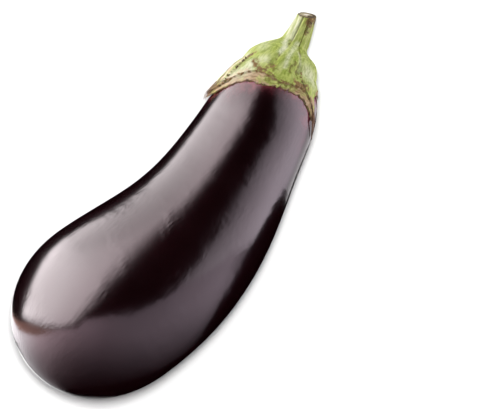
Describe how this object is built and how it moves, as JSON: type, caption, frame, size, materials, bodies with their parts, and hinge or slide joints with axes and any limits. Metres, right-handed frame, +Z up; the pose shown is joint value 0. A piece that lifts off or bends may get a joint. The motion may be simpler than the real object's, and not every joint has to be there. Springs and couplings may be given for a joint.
{
  "type": "eggplant",
  "caption": "Whole purple eggplant lying on its side, a smooth bent fruit with a lobed green calyx and cut stem, resting on a small flat spot.",
  "frame": {"origin": "middle of the bottom of the box, on the surface that the fruit rests on", "axes": "+X along the fruit from the blossom end to the stem, +Y towards the hollow side of its bend, +Z up"},
  "size_m": [0.2046, 0.0832, 0.0806],
  "materials": {
    "fruit_skin": "waxy, glossy, near-black purple skin",
    "calyx_green": "matte, leathery green calyx and stem with dried brown edges"
  },
  "bodies": {
    "root": {"fruit": "fruit_skin", "calyx": "calyx_green"}
  },
  "joints": []
}
